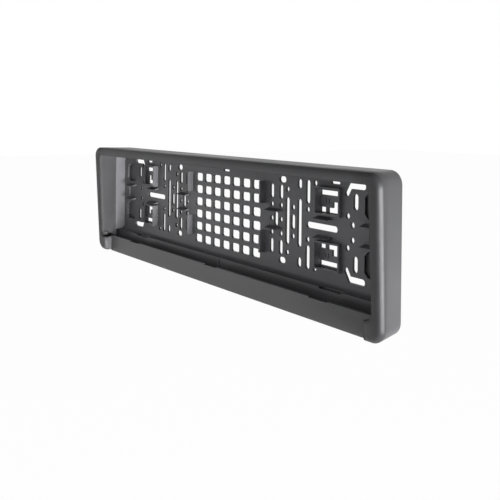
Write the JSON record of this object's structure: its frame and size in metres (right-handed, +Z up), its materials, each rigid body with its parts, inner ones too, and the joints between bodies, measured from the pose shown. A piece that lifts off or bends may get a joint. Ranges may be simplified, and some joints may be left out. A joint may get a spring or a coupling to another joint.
{
  "type": "number plate holder",
  "caption": "Wide flared plastic tray with a perforated back panel, overhanging lips and a clip-on lower strip, which holds a vehicle number plate on a bumper.",
  "frame": {"origin": "centre of the four short screw slots, on the back face of the panel", "axes": "+X across the car along the plate, +Y back into the car, +Z up along the plate's height"},
  "size_m": [0.5618, 0.0428, 0.1411],
  "materials": {
    "black_plastic": "fine grained, satin",
    "strip_plastic": "fine grained, satin"
  },
  "bodies": {
    "root": {"holder_frame": "black_plastic", "closing_strip": "strip_plastic"}
  },
  "joints": []
}
